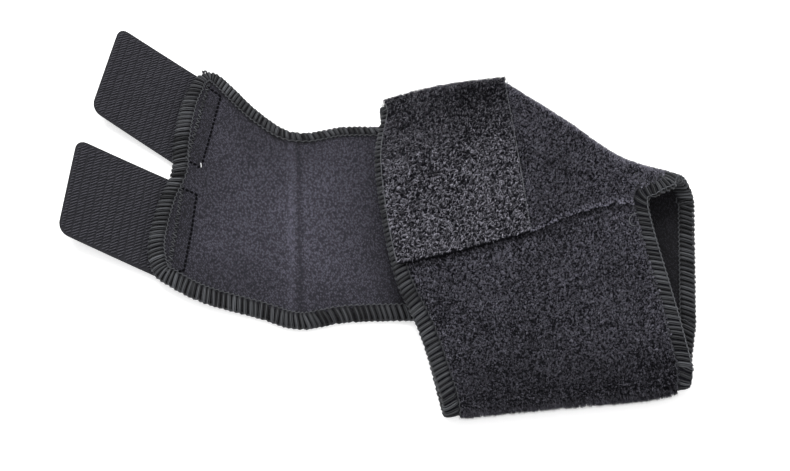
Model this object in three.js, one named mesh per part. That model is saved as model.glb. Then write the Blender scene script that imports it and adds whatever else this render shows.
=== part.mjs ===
// Ankle brace lying flat: a folded neoprene sleeve with a strap and two hook tabs.
// Millimetres, +Z up. The strap runs to -X, and the sleeve's far fold lies towards +Y.
import * as THREE from "three";

// Driving dimensions
const FABRIC_THICKNESS = 3.2;
const SLEEVE_LENGTH = 138;
const SLEEVE_WIDTH = 160;
const FAR_FOLD_RADIUS = 5;
const NEAR_FOLD_RADIUS = 4.5;
const STRAP_LENGTH = 95;
const STRAP_WIDTH = 98;
const STRAP_CORNER_RADIUS = 3;
const STRAP_END_LIFT = 4.2;
const CREASE_SHARE = 0.37;
const CREASE_HEIGHT = 0.5;
const CREASE_HALF_WIDTH = 3.5;
const PATCH_THICKNESS = 2.0;
const PATCH_EDGE_INSET = 2.6;
const PATCH_WRAP_SHARE = 0.62;
const TAB_LENGTH = 45;
const TAB_WIDTH = 48;
const TAB_MARGIN = -2.4;
const TAB_SPACING = 10.2;
const TAB_SEWN_LENGTH = 16.5;
const TAB_THICKNESS = 1.2;
const TAB_CORNER_RADIUS = 5;
const PIECE_GAP = 0.3;

// Finish of each piece
const FINISHES = {
  wrap_panel: { color: "#34343a", roughness: 0.95 },
  sole_panel: { color: "#323238", roughness: 0.95 },
  loop_patch: { color: "#3f3f45", roughness: 1.0 },
  hook_tab: { color: "#3a3a3f", roughness: 0.7 },
};

const BASE_HEIGHT = FABRIC_THICKNESS / 2;

// Guide lines along the sleeve, with a column for each station from the left opening to the
// right one. Each point is [share of SLEEVE_LENGTH from the left opening, share of
// SLEEVE_WIDTH from the strap's middle line].
const SLEEVE_GUIDES = {
  // Outermost line of the far fold
  far: [[0.01, 0.375], [0.2, 0.428], [0.413, 0.459], [0.594, 0.336], [0.783, 0.205], [1.012, 0.14]],
  // Middle of the front above its seam
  upper: [[-0.004, 0.172], [0.18, 0.163], [0.447, 0.206], [0.61, 0.175], [0.762, 0.128], [0.878, 0.069]],
  // Front seam
  seam: [[0.05, -0.138], [0.2, -0.108], [0.475, -0.038], [0.637, 0.025], [0.76, 0.05], [0.849, 0.034]],
  // Middle of the front below its seam
  lower: [[0.13, -0.325], [0.305, -0.306], [0.5, -0.275], [0.66, -0.25], [0.797, -0.238], [0.908, -0.261]],
  // Outermost line of the near fold
  near: [[0.2, -0.538], [0.36, -0.523], [0.55, -0.506], [0.695, -0.494], [0.825, -0.481], [0.93, -0.455]],
  // Seam on the side that lies on the table
  back: [[0.13, -0.263], [0.31, -0.266], [0.51, -0.269], [0.68, -0.272], [0.84, -0.275], [0.972, -0.276]],
};
const LAST_STATION = 5;
const PATCH_STATION = 2;

// The far fold opens towards the right opening, and its top stops short of its base there. A
// value for each station: radius as a share of FAR_FOLD_RADIUS, lag of SLEEVE_LENGTH.
const FAR_FOLD_GROWTH = [1, 1, 1, 1, 1.08, 1.4];
const FAR_FOLD_LAG = [0, 0, 0, 0, 0.012, 0.072];

// Edges of the strap, a row for each station from near the sleeve to the free end. x is a
// share of STRAP_LENGTH and y a share of STRAP_WIDTH.
const STRAP_STATIONS = [
  { far: [-0.168, 0.561], near: [-0.126, -0.439] },
  { far: [-0.384, 0.529], near: [-0.342, -0.474] },
  { far: [-0.558, 0.633], near: [-0.516, -0.423] },
  { far: [-0.774, 0.842], near: [-0.79, -0.347] },
  { far: [-0.878, 0.826], near: [-0.995, -0.24] },
];

// How far the strap's free end bulges past the line between its corners, as shares of
// STRAP_LENGTH at even steps from the far corner to the near one. It dips between the tabs.
const STRAP_END_BULGES = [0, 0.034, 0.041, 0.034, 0.017, 0.042, 0.053, 0.048, 0];

// The two hook tabs, from the strap's far corner on. heading: way the tab runs. across: way
// its ends run, both in degrees from +X. shift: share of TAB_LENGTH that it sits further out.
const TABS = [
  { name: "hook_tab_upper", heading: 146, across: 259.8, shift: 0 },
  { name: "hook_tab_lower", heading: 156.2, across: 265.8, shift: 0.07 },
];

const COLUMNS_PER_STATION = 4;
const FOLD_STEPS = 8;
const FRONT_STEPS = 6;
const BACK_SHARES = [0, 0.01, 0.03, 0.07, 0.16, 0.3, 0.5, 0.7, 0.84, 0.93, 0.97, 0.99, 1];
const NEAR_BACK_STEPS = 4;
const SEAM_PROBE = 0.05;
const TAB_SHARES = [0, 0.02, 0.06, 0.14, 0.32, 0.5, 0.68, 0.86, 0.94, 0.98, 1];

// Places round the sleeve: each whole number is a guide line
const ROUND = {
  seam: 0, upper: 1, farTop: 2, farBase: 3, back: 4, nearBase: 5, nearTop: 6, lower: 7, close: 8,
};

function spline(values, t) {
  const last = values.length - 1;
  const i = Math.max(0, Math.min(Math.floor(t), last - 1));
  const f = t - i;
  const [b, c] = [values[i], values[i + 1]];
  const a = i > 0 ? values[i - 1] : 2 * b - c;
  const d = i + 2 <= last ? values[i + 2] : 2 * c - b;
  return b + 0.5 * f * (c - a + f * (2 * a - 5 * b + 4 * c - d + f * (3 * (b - c) + d - a)));
}

// One guide line of the sleeve at a station, with a corner at the patch's right edge
function sleeveGuide(name, station) {
  const guide = SLEEVE_GUIDES[name];
  const beyond = station > PATCH_STATION;
  const points = beyond ? guide.slice(PATCH_STATION) : guide.slice(0, PATCH_STATION + 1);
  const t = beyond ? station - PATCH_STATION : station;
  const x = spline(points.map((point) => point[0]), t) * SLEEVE_LENGTH;
  const y = spline(points.map((point) => point[1]), t) * SLEEVE_WIDTH;
  return new THREE.Vector2(x, y);
}

function foldArc(edge, inward, radius, angle, lag = 0) {
  const reach = radius * (1 - Math.cos(angle));
  return new THREE.Vector3(
    edge.x + inward.x * reach - lag * (0.5 + 0.5 * Math.sin(angle)),
    edge.y + inward.y * reach,
    BASE_HEIGHT + radius * (1 + Math.sin(angle)),
  );
}

// Middle surface of the sleeve: station along it, place round it
function sleevePoint(station, place) {
  const far = sleeveGuide("far", station);
  const near = sleeveGuide("near", station);
  const back = sleeveGuide("back", station);
  const fromFar = back.clone().sub(far).normalize();
  const fromNear = back.clone().sub(near).normalize();
  const farRadius = FAR_FOLD_RADIUS * spline(FAR_FOLD_GROWTH, station);
  const farLag = SLEEVE_LENGTH * spline(FAR_FOLD_LAG, station);
  if (place >= ROUND.farTop && place <= ROUND.farBase) {
    const angle = Math.PI * (0.5 - (place - ROUND.farTop));
    return foldArc(far, fromFar, farRadius, angle, farLag);
  }
  if (place >= ROUND.nearBase && place <= ROUND.nearTop) {
    const angle = Math.PI * (place - ROUND.nearBase - 0.5);
    return foldArc(near, fromNear, NEAR_FOLD_RADIUS, angle);
  }
  const farBase = foldArc(far, fromFar, farRadius, -Math.PI / 2);
  const nearBase = foldArc(near, fromNear, NEAR_FOLD_RADIUS, -Math.PI / 2);
  if (place > ROUND.farBase && place <= ROUND.back) {
    const seam = new THREE.Vector3(back.x, back.y, BASE_HEIGHT);
    return farBase.lerp(seam, place - ROUND.farBase);
  }
  if (place > ROUND.back && place < ROUND.nearBase) {
    const seam = new THREE.Vector3(back.x, back.y, BASE_HEIGHT);
    return seam.lerp(nearBase, place - ROUND.back);
  }
  const upper = sleeveGuide("upper", station);
  const seam = sleeveGuide("seam", station);
  const lower = sleeveGuide("lower", station);
  const top = BASE_HEIGHT + 2 * farRadius;
  const low = BASE_HEIGHT + 2 * NEAR_FOLD_RADIUS;
  const front = [
    foldArc(near, fromNear, NEAR_FOLD_RADIUS, Math.PI / 2),
    new THREE.Vector3(lower.x, lower.y, low),
    new THREE.Vector3(seam.x, seam.y, (top + low) / 2),
    new THREE.Vector3(upper.x, upper.y, top),
    foldArc(far, fromFar, farRadius, Math.PI / 2, farLag),
  ];
  const t = place < ROUND.farTop ? place + 2 : place - ROUND.nearTop;
  return new THREE.Vector3(...["x", "y", "z"].map((axis) => spline(front.map((p) => p[axis]), t)));
}

// Outward direction of the sleeve's wall
function sleeveNormal(station, place) {
  const step = 1e-3;
  const left = sleevePoint(Math.max(0, station - step), place);
  const right = sleevePoint(Math.min(LAST_STATION, station + step), place);
  const before = sleevePoint(station, Math.max(0, place - step));
  const after = sleevePoint(station, place + step);
  return right.sub(left).cross(after.sub(before)).normalize();
}

// Height of the strap's middle surface: flat up to the crease, then rising to the free end
function strapHeight(x) {
  const flap = STRAP_LENGTH * (1 - CREASE_SHARE);
  const beyond = -CREASE_SHARE * STRAP_LENGTH - x;
  const rise = beyond > 0 ? STRAP_END_LIFT * (beyond / flap) ** 1.6 : 0;
  const ridge = CREASE_HEIGHT * Math.exp(-((beyond / CREASE_HALF_WIDTH) ** 2));
  return BASE_HEIGHT + rise + ridge;
}

// How far a rounded corner cuts an end back, at a distance from the side
function cornerCut(distance, radius) {
  const inside = Math.max(0, radius - distance);
  return radius - Math.sqrt(radius * radius - inside * inside);
}

// Edge points of the strap, from the sleeve's back layer to the free end
const STRAP_EDGES = [
  { far: sleevePoint(0, ROUND.farBase), near: sleevePoint(0, ROUND.back) },
  ...STRAP_STATIONS.map(({ far, near }) => ({
    far: new THREE.Vector3(far[0] * STRAP_LENGTH, far[1] * STRAP_WIDTH, BASE_HEIGHT),
    near: new THREE.Vector3(near[0] * STRAP_LENGTH, near[1] * STRAP_WIDTH, BASE_HEIGHT),
  })),
];

// Middle surface of the strap: station from the sleeve, share from the far edge to the near
function strapPoint(station, share) {
  const last = STRAP_EDGES.length - 1;
  const sideDistance = Math.min(share, 1 - share) * STRAP_WIDTH;
  const cut = cornerCut(sideDistance, STRAP_CORNER_RADIUS);
  const endPull = Math.max(0, station - (last - 1));
  const t = station - (endPull * cut * last) / STRAP_LENGTH;
  const edge = (side, axis) => spline(STRAP_EDGES.map((row) => row[side][axis]), t);
  const bulge = endPull * STRAP_LENGTH * spline(STRAP_END_BULGES, share * (STRAP_END_BULGES.length - 1));
  const x = THREE.MathUtils.lerp(edge("far", "x"), edge("near", "x"), share) - bulge;
  const y = THREE.MathUtils.lerp(edge("far", "y"), edge("near", "y"), share);
  return new THREE.Vector3(x, y, strapHeight(x));
}

// A sheet: a net of quads on its middle surface, thickened into one closed solid
class Sheet {
  constructor() {
    this.points = [];
    this.keys = new Map();
    this.quads = [];
  }

  vertex(point) {
    const key = point.toArray().map((value) => Math.round(value * 1e4)).join(",");
    if (!this.keys.has(key)) {
      this.keys.set(key, this.points.length);
      this.points.push(point.clone());
    }
    return this.keys.get(key);
  }

  addNet(rows) {
    for (let i = 0; i + 1 < rows.length; i += 1) {
      for (let j = 0; j + 1 < rows[i].length; j += 1) {
        const corners = [rows[i][j], rows[i + 1][j], rows[i + 1][j + 1], rows[i][j + 1]];
        this.quads.push(corners.map((point) => this.vertex(point)));
      }
    }
  }

  normals() {
    const normals = this.points.map(() => new THREE.Vector3());
    for (const quad of this.quads) {
      const [a, b, c, d] = quad.map((index) => this.points[index]);
      const across = c.clone().sub(a);
      const normal = across.cross(d.clone().sub(b)).normalize();
      quad.forEach((index) => normals[index].add(normal));
    }
    return normals.map((normal) => normal.normalize());
  }

  solid(thickness) {
    const normals = this.normals();
    const count = this.points.length;
    const positions = [];
    for (const side of [0.5, -0.5]) {
      this.points.forEach((point, index) => {
        positions.push(...point.clone().addScaledVector(normals[index], side * thickness).toArray());
      });
    }
    const faces = [];
    const edges = new Map();
    for (const [a, b, c, d] of this.quads) {
      faces.push(a, b, c, a, c, d);
      faces.push(a + count, c + count, b + count, a + count, d + count, c + count);
      for (const [from, to] of [[a, b], [b, c], [c, d], [d, a]]) {
        const twin = `${to},${from}`;
        if (edges.has(twin)) edges.delete(twin);
        else edges.set(`${from},${to}`, [from, to]);
      }
    }
    for (const [from, to] of edges.values()) {
      faces.push(from, from + count, to + count, from, to + count, to);
    }
    const geometry = new THREE.BufferGeometry();
    geometry.setAttribute("position", new THREE.Float32BufferAttribute(positions, 3));
    geometry.setIndex(faces);
    geometry.computeVertexNormals();
    return geometry;
  }
}

function steps(from, to, count) {
  return Array.from({ length: count + 1 }, (_, i) => from + ((to - from) * i) / count);
}

function joined(...lists) {
  return [...new Set(lists.flat())];
}

const STATIONS = steps(0, LAST_STATION, LAST_STATION * COLUMNS_PER_STATION);

const LAST_STRAP_ROW = STRAP_EDGES.length - 1;
const STRAP_ROWS = steps(0, LAST_STRAP_ROW, LAST_STRAP_ROW * COLUMNS_PER_STATION);

function wrapPanel() {
  const places = joined(
    steps(ROUND.seam, ROUND.upper, FRONT_STEPS),
    steps(ROUND.upper, ROUND.farTop, FRONT_STEPS),
    steps(ROUND.farTop, ROUND.farBase, FOLD_STEPS),
    BACK_SHARES.map((share) => ROUND.farBase + share),
  );
  const sheet = new Sheet();
  sheet.addNet(STATIONS.map((station) => places.map((place) => sleevePoint(station, place))));
  sheet.addNet(STRAP_ROWS.map((station) => BACK_SHARES.map((share) => strapPoint(station, share))).reverse());
  return sheet.solid(FABRIC_THICKNESS);
}

// A point of the sole panel, which keeps the gap to the wrap panel at its two seams
function soleEdgePoint(station, place) {
  const inward = { [ROUND.back]: SEAM_PROBE, [ROUND.close]: -SEAM_PROBE };
  const point = sleevePoint(station, place);
  if (!(place in inward)) return point;
  const inside = sleevePoint(station, place + inward[place]);
  return point.add(inside.sub(point).setLength(PIECE_GAP));
}

function solePanel() {
  const places = joined(
    steps(ROUND.back, ROUND.nearBase, NEAR_BACK_STEPS),
    steps(ROUND.nearBase, ROUND.nearTop, FOLD_STEPS),
    steps(ROUND.nearTop, ROUND.lower, FRONT_STEPS),
    steps(ROUND.lower, ROUND.close, FRONT_STEPS),
  );
  const sheet = new Sheet();
  sheet.addNet(STATIONS.map((station) => places.map((place) => soleEdgePoint(station, place))));
  return sheet.solid(FABRIC_THICKNESS);
}

function loopPatch() {
  const offset = FABRIC_THICKNESS / 2 + PIECE_GAP + PATCH_THICKNESS / 2;
  const [first, second] = SLEEVE_GUIDES.upper;
  const edge = PATCH_EDGE_INSET / (SLEEVE_LENGTH * (second[0] - first[0]));
  const stations = steps(edge, PATCH_STATION, PATCH_STATION * COLUMNS_PER_STATION);
  const places = joined(
    steps(ROUND.seam, ROUND.upper, FRONT_STEPS),
    steps(ROUND.upper, ROUND.farTop, FRONT_STEPS),
    steps(ROUND.farTop, ROUND.farTop + PATCH_WRAP_SHARE, FOLD_STEPS),
  );
  const sheet = new Sheet();
  sheet.addNet(stations.map((station) => places.map((place) => (
    sleevePoint(station, place).addScaledVector(sleeveNormal(station, place), offset)
  ))));
  return sheet.solid(PATCH_THICKNESS);
}

function hookTab(row, index) {
  const heading = THREE.MathUtils.degToRad(row.heading);
  const across = THREE.MathUtils.degToRad(row.across);
  const { far, near } = STRAP_EDGES.at(-1);
  const fromCorner = TAB_MARGIN + index * (TAB_WIDTH + TAB_SPACING);
  const start = far.clone().add(near.clone().sub(far).setLength(1).multiplyScalar(fromCorner));
  const drop = FABRIC_THICKNESS / 2 + PIECE_GAP + TAB_THICKNESS / 2;
  const rows = steps(0, 1, 2 * COLUMNS_PER_STATION).map((along) => TAB_SHARES.map((share) => {
    const side = Math.min(share, 1 - share) * TAB_WIDTH;
    const cut = along * cornerCut(side, TAB_CORNER_RADIUS);
    const reach = row.shift * TAB_LENGTH + along * (TAB_LENGTH + TAB_SEWN_LENGTH) - TAB_SEWN_LENGTH - cut;
    const x = start.x + reach * Math.cos(heading) + share * TAB_WIDTH * Math.cos(across);
    const y = start.y + reach * Math.sin(heading) + share * TAB_WIDTH * Math.sin(across);
    return new THREE.Vector3(x, y, strapHeight(x) - drop);
  }));
  const sheet = new Sheet();
  sheet.addNet(rows.reverse());
  return sheet.solid(TAB_THICKNESS);
}

function piece(name, geometry, finish) {
  const material = new THREE.MeshStandardMaterial({ ...finish, metalness: 0 });
  const mesh = new THREE.Mesh(geometry, material);
  mesh.name = name;
  return mesh;
}

const brace = new THREE.Group();
brace.add(piece("wrap_panel", wrapPanel(), FINISHES.wrap_panel));
brace.add(piece("sole_panel", solePanel(), FINISHES.sole_panel));
brace.add(piece("loop_patch", loopPatch(), FINISHES.loop_patch));
TABS.forEach((row, index) => brace.add(piece(row.name, hookTab(row, index), FINISHES.hook_tab)));

// The origin is the middle of the footprint, on the surface that the brace lies on
const bounds = new THREE.Box3().setFromObject(brace);
const middle = bounds.getCenter(new THREE.Vector3());
brace.position.set(-middle.x, -middle.y, -bounds.min.z);
brace.updateMatrixWorld(true);

export default brace;
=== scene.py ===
"""Ankle brace lying flat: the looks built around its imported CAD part."""

import math

import bpy
import numpy as np
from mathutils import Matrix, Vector


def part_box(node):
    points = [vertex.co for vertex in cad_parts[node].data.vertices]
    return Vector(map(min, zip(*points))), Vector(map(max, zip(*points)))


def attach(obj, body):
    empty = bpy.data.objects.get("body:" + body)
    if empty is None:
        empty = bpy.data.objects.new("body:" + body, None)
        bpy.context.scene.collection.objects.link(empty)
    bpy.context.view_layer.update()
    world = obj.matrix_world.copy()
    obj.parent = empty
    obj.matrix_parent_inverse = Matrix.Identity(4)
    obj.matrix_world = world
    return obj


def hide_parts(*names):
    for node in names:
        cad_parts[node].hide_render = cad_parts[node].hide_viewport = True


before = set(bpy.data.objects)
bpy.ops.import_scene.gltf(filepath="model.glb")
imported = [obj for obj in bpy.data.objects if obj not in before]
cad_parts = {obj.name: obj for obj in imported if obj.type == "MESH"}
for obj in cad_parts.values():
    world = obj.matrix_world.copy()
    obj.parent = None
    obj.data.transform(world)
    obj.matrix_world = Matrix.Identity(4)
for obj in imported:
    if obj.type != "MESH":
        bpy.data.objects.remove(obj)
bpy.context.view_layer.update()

MM = 0.001
UP = (0, 0, 1)
random = np.random.default_rng(11)

# Sizes of the brace in millimetres, as in its CAD part
FABRIC_THICKNESS = 3.2
SLEEVE_LENGTH = 138
SLEEVE_WIDTH = 160
FAR_FOLD_RADIUS = 5
NEAR_FOLD_RADIUS = 4.5
STRAP_LENGTH = 95
STRAP_WIDTH = 98
STRAP_CORNER_RADIUS = 3
STRAP_END_LIFT = 4.2
STRAP_RISE_POWER = 1.6
CREASE_SHARE = 0.37
CREASE_HEIGHT = 0.5
CREASE_HALF_WIDTH = 3.5
PATCH_EDGE_INSET = 2.6
PATCH_WRAP_SHARE = 0.62
TAB_LENGTH = 45
TAB_WIDTH = 48
TAB_MARGIN = -2.4
TAB_SPACING = 10.2
TAB_SEWN_LENGTH = 16.5
TAB_THICKNESS = 1.2
TAB_CORNER_RADIUS = 5
PIECE_GAP = 0.3
BASE_HEIGHT = FABRIC_THICKNESS / 2

# Guide lines along the sleeve: shares of its length and width at each station
SLEEVE_GUIDES = {
    "far": [(0.01, 0.375), (0.2, 0.428), (0.413, 0.459), (0.594, 0.336), (0.783, 0.205), (1.012, 0.14)],
    "upper": [(-0.004, 0.172), (0.18, 0.163), (0.447, 0.206), (0.61, 0.175), (0.762, 0.128),
              (0.878, 0.069)],
    "seam": [(0.05, -0.138), (0.2, -0.108), (0.475, -0.038), (0.637, 0.025), (0.76, 0.05), (0.849, 0.034)],
    "lower": [(0.13, -0.325), (0.305, -0.306), (0.5, -0.275), (0.66, -0.25), (0.797, -0.238),
              (0.908, -0.261)],
    "near": [(0.2, -0.538), (0.36, -0.523), (0.55, -0.506), (0.695, -0.494), (0.825, -0.481),
             (0.93, -0.455)],
    "back": [(0.13, -0.263), (0.31, -0.266), (0.51, -0.269), (0.68, -0.272), (0.84, -0.275),
             (0.972, -0.276)],
}
LAST_STATION = 5
PATCH_STATION = 2

# Radius of the far fold as a share of its own, and lag of its top, at each station
FAR_FOLD_GROWTH = [(1,), (1,), (1,), (1,), (1.08,), (1.4,)]
FAR_FOLD_LAG = [(0,), (0,), (0,), (0,), (0.012,), (0.072,)]

# Edges of the strap: shares of its length and width from near the sleeve to the free end
STRAP_FAR = [(-0.168, 0.561), (-0.384, 0.529), (-0.558, 0.633), (-0.774, 0.842), (-0.878, 0.826)]
STRAP_NEAR = [(-0.126, -0.439), (-0.342, -0.474), (-0.516, -0.423), (-0.79, -0.347), (-0.995, -0.24)]
STRAP_END_BULGES = [0, 0.034, 0.041, 0.034, 0.017, 0.042, 0.053, 0.048, 0]

# Hook tabs: name, heading and across in degrees from +X, and how far out each one sits
TABS = [("hook_tab_upper", 146, 259.8, 0), ("hook_tab_lower", 156.2, 265.8, 0.07)]

# Places round the sleeve: each whole number is a guide line
SEAM, UPPER, FAR_TOP, FAR_BASE, BACK, NEAR_BASE, NEAR_TOP, LOWER, CLOSE = range(9)


# Surface of the brace

def unit(vectors):
    """Each vector at length one."""
    return vectors / np.maximum(np.linalg.norm(vectors, axis=-1, keepdims=True), 1e-9)


def curve(pick, last, t):
    """Smooth curve through the rows that pick gives by their number, at t whole steps of last."""
    i = np.clip(np.floor(t).astype(int), 0, last - 1)
    f = (t - i)[..., None]
    b, c = pick(i), pick(i + 1)
    a = np.where((i > 0)[..., None], pick(np.maximum(i - 1, 0)), 2 * b - c)
    d = np.where((i + 2 <= last)[..., None], pick(np.minimum(i + 2, last)), 2 * c - b)
    return b + 0.5 * f * (c - a + f * (2 * a - 5 * b + 4 * c - d + f * (3 * (b - c) + d - a)))


def spline(rows, t):
    """Smooth curve through a list of rows, at t whole steps along it."""
    rows = np.asarray(rows, float)
    return curve(rows.__getitem__, len(rows) - 1, np.asarray(t, float))


def sleeve_guide(name, station):
    """A guide line of the sleeve in plan, with a corner at the patch's right edge."""
    rows = np.array(SLEEVE_GUIDES[name]) * (SLEEVE_LENGTH, SLEEVE_WIDTH)
    left = spline(rows[: PATCH_STATION + 1], station)
    right = spline(rows[PATCH_STATION:], station - PATCH_STATION)
    return np.where((station > PATCH_STATION)[..., None], right, left)


def at_height(plan, height):
    """Plan points at one height, or at a height each."""
    return np.concatenate([plan, (np.zeros(plan.shape[:-1]) + height)[..., None]], -1)


def pulled_back(plan, distance):
    """Plan points moved towards -X, by a distance each."""
    return plan - distance[..., None] * (1, 0)


def fold_arc(edge, inward, radius, angle, lag=0.0):
    """A point of a fold's round, from its outermost line."""
    plan = edge + inward * (radius * (1 - np.cos(angle)))[..., None]
    plan = pulled_back(plan, lag * (0.5 + 0.5 * np.sin(angle)))
    return at_height(plan, BASE_HEIGHT + radius * (1 + np.sin(angle)))


def sleeve_point(station, place):
    """Middle surface of the sleeve: station along it, place round it."""
    station, place = np.broadcast_arrays(np.asarray(station, float), np.asarray(place, float))
    place = np.where(place > CLOSE, place - CLOSE, np.where(place < 0, place + CLOSE, place))
    far, upper, seam, lower, near, back = (sleeve_guide(name, station) for name in SLEEVE_GUIDES)
    quarter = np.full(station.shape, math.pi / 2)
    radius = FAR_FOLD_RADIUS * spline(FAR_FOLD_GROWTH, station)[..., 0]
    lag = SLEEVE_LENGTH * spline(FAR_FOLD_LAG, station)[..., 0]
    top = BASE_HEIGHT + 2 * radius
    low = BASE_HEIGHT + 2 * NEAR_FOLD_RADIUS

    def far_fold(angle, lag=0.0):
        return fold_arc(far, unit(back - far), radius, angle, lag)

    def near_fold(angle):
        return fold_arc(near, unit(back - near), NEAR_FOLD_RADIUS, angle)

    far_base, near_base, seam_back = far_fold(-quarter), near_fold(-quarter), at_height(back, BASE_HEIGHT)
    middle = [at_height(lower, low), at_height(seam, (top + low) / 2), at_height(upper, top)]
    front = np.stack([near_fold(quarter), *middle, far_fold(quarter, lag)])

    def pick(index):
        return np.take_along_axis(front, index[None, ..., None], 0)[0]

    from_near_top = np.where(place < FAR_TOP + 1e-9, place + CLOSE - NEAR_TOP, place - NEAR_TOP)
    smooth = curve(pick, len(front) - 1, from_near_top)
    share = place[..., None]
    far_back = far_base + (seam_back - far_base) * (share - FAR_BASE)
    near_back = seam_back + (near_base - seam_back) * (share - BACK)
    runs = [share < FAR_TOP, share <= FAR_BASE, share <= BACK, share < NEAR_BASE, share <= NEAR_TOP]
    far_arc = far_fold(math.pi * (0.5 - (place - FAR_TOP)), lag)
    near_arc = near_fold(math.pi * (place - NEAR_BASE - 0.5))
    return np.select(runs, [smooth, far_arc, far_back, near_back, near_arc], smooth)


SLOPE_STEP = 1e-3


def sleeve_slopes(station, place):
    """Change of the sleeve's middle surface for a step of station and of place."""
    return tuple(
        (sleeve_point(station + a, place + b) - sleeve_point(station - a, place - b)) / (2 * SLOPE_STEP)
        for a, b in ((SLOPE_STEP, 0), (0, SLOPE_STEP)))


def over_sleeve(stations, places, height):
    """Points at a height out from the sleeve's middle surface, and the outward direction at each."""
    along, round_it = sleeve_slopes(stations, places)
    up = unit(np.cross(along, round_it))
    return sleeve_point(stations, places) + up * height, up


def strap_height(x):
    """Height of the strap's middle surface, which rises past its crease to the free end."""
    flap = STRAP_LENGTH * (1 - CREASE_SHARE)
    beyond = -CREASE_SHARE * STRAP_LENGTH - np.asarray(x, float)
    rise = STRAP_END_LIFT * (np.maximum(beyond, 0) / flap) ** STRAP_RISE_POWER
    return BASE_HEIGHT + rise + CREASE_HEIGHT * np.exp(-((beyond / CREASE_HALF_WIDTH) ** 2))


def corner_cut(distance, radius):
    """How far a rounded corner cuts an end back, at a distance from the side."""
    inside = np.maximum(0, radius - distance)
    return radius - np.sqrt(radius * radius - inside * inside)


def strap_edge(start, shares):
    """Edge points of the strap from the sleeve's back layer to the free end."""
    return np.vstack([start[:2], np.array(shares) * (STRAP_LENGTH, STRAP_WIDTH)])


FAR_EDGE = strap_edge(sleeve_point(0, FAR_BASE), STRAP_FAR)
NEAR_EDGE = strap_edge(sleeve_point(0, BACK), STRAP_NEAR)
STRAP_LAST = len(FAR_EDGE) - 1


def on_flat(plan):
    """Points of the strap or the sleeve's back layer, from their plan."""
    return at_height(plan, strap_height(plan[..., 0]))


def strap_point(station, share):
    """Middle surface of the strap: station from the sleeve, share from the far edge to the near."""
    station, share = np.broadcast_arrays(np.asarray(station, float), np.asarray(share, float))
    cut = corner_cut(np.minimum(share, 1 - share) * STRAP_WIDTH, STRAP_CORNER_RADIUS)
    end_pull = np.maximum(0, station - (STRAP_LAST - 1))
    t = station - end_pull * cut * STRAP_LAST / STRAP_LENGTH
    steps = len(STRAP_END_BULGES) - 1
    bulge = end_pull * STRAP_LENGTH * spline(np.array(STRAP_END_BULGES)[:, None], share * steps)[..., 0]
    far, near = spline(FAR_EDGE, t), spline(NEAR_EDGE, t)
    plan = far + (near - far) * share[..., None]
    return on_flat(pulled_back(plan, bulge))


def plan_way(degrees):
    """Plan direction at an angle from +X."""
    angle = math.radians(degrees)
    return np.array([math.cos(angle), math.sin(angle)])


def tab_point(index, reach, share):
    """Plan point of a hook tab: reach out from its sewn line in mm, share across it."""
    _, heading, across, shift = TABS[index]
    down_end = unit(NEAR_EDGE[-1] - FAR_EDGE[-1])
    start = FAR_EDGE[-1] + down_end * (TAB_MARGIN + index * (TAB_WIDTH + TAB_SPACING))
    out = (np.asarray(reach, float) + shift * TAB_LENGTH)[..., None]
    over = (np.asarray(share, float) * TAB_WIDTH)[..., None]
    return start + out * plan_way(heading) + over * plan_way(across)


def origin_shift():
    """From the surface's own frame to the CAD part's, in mm."""
    shares = np.linspace(0, 1, 201)
    side = np.minimum(shares, 1 - shares) * TAB_WIDTH
    end = tab_point(1, TAB_LENGTH - corner_cut(side, TAB_CORNER_RADIUS), shares)
    low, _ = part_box("hook_tab_lower")
    sole_low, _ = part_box("sole_panel")
    edge = sleeve_point(np.linspace(0, LAST_STATION, 400), NEAR_BASE + 0.5)
    x = low[0] / MM - end[:, 0].min()
    return np.array([x, sole_low[1] / MM + BASE_HEIGHT - edge[:, 1].min(), 0])


ORIGIN = origin_shift()


# Mesh helpers

def mesh_object(name, points, faces, materials, shade=None, slots=None, smooth=True):
    """A mesh from points in mm and faces, with one value of painted light and tone, or a value for each
    point.
    """
    mesh = bpy.data.meshes.new(name)
    mesh.from_pydata(((points + ORIGIN) * MM).tolist(), [], faces.tolist())
    for material in materials:
        mesh.materials.append(material)
    if shade is not None:
        values = np.broadcast_to(np.ravel(shade), len(points)).astype(np.float32)
        mesh.attributes.new("shade", "FLOAT", "POINT").data.foreach_set("value", values)
    if slots is not None:
        mesh.polygons.foreach_set("material_index", slots.astype(np.int32))
    mesh.polygons.foreach_set("use_smooth", np.full(len(mesh.polygons), smooth))
    mesh.update()
    made = bpy.data.objects.new(name, mesh)
    bpy.context.scene.collection.objects.link(made)
    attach(made, "root")
    return made


def net_quads(index):
    """Quads of nets of point numbers, in rows and columns of the last two axes."""
    a, b = index[..., :-1, :], index[..., 1:, :]
    return np.stack([a[..., :-1], a[..., 1:], b[..., 1:], b[..., :-1]], -1).reshape(-1, 4)


def tubes(name, paths, radius, sides, up, material, shade):
    """Tubes along paths of equal length, a row of points each, as one mesh."""
    count, steps, _ = paths.shape
    forward = unit(np.gradient(paths, axis=1))
    side = unit(np.cross(forward, np.broadcast_to(up, paths.shape)))
    lift = np.cross(side, forward)
    angle = np.arange(sides) * 2 * math.pi / sides
    ring = side[:, :, None] * np.cos(angle)[:, None] + lift[:, :, None] * np.sin(angle)[:, None]
    points = (paths[:, :, None] + radius * ring).reshape(-1, 3)
    index = np.arange(count * steps * sides).reshape(count, steps, sides)
    faces = net_quads(np.concatenate([index, index[..., :1]], -1))
    shade = np.broadcast_to(shade, (count, steps, sides))
    return mesh_object(name, points, faces, [material], shade)


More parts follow.
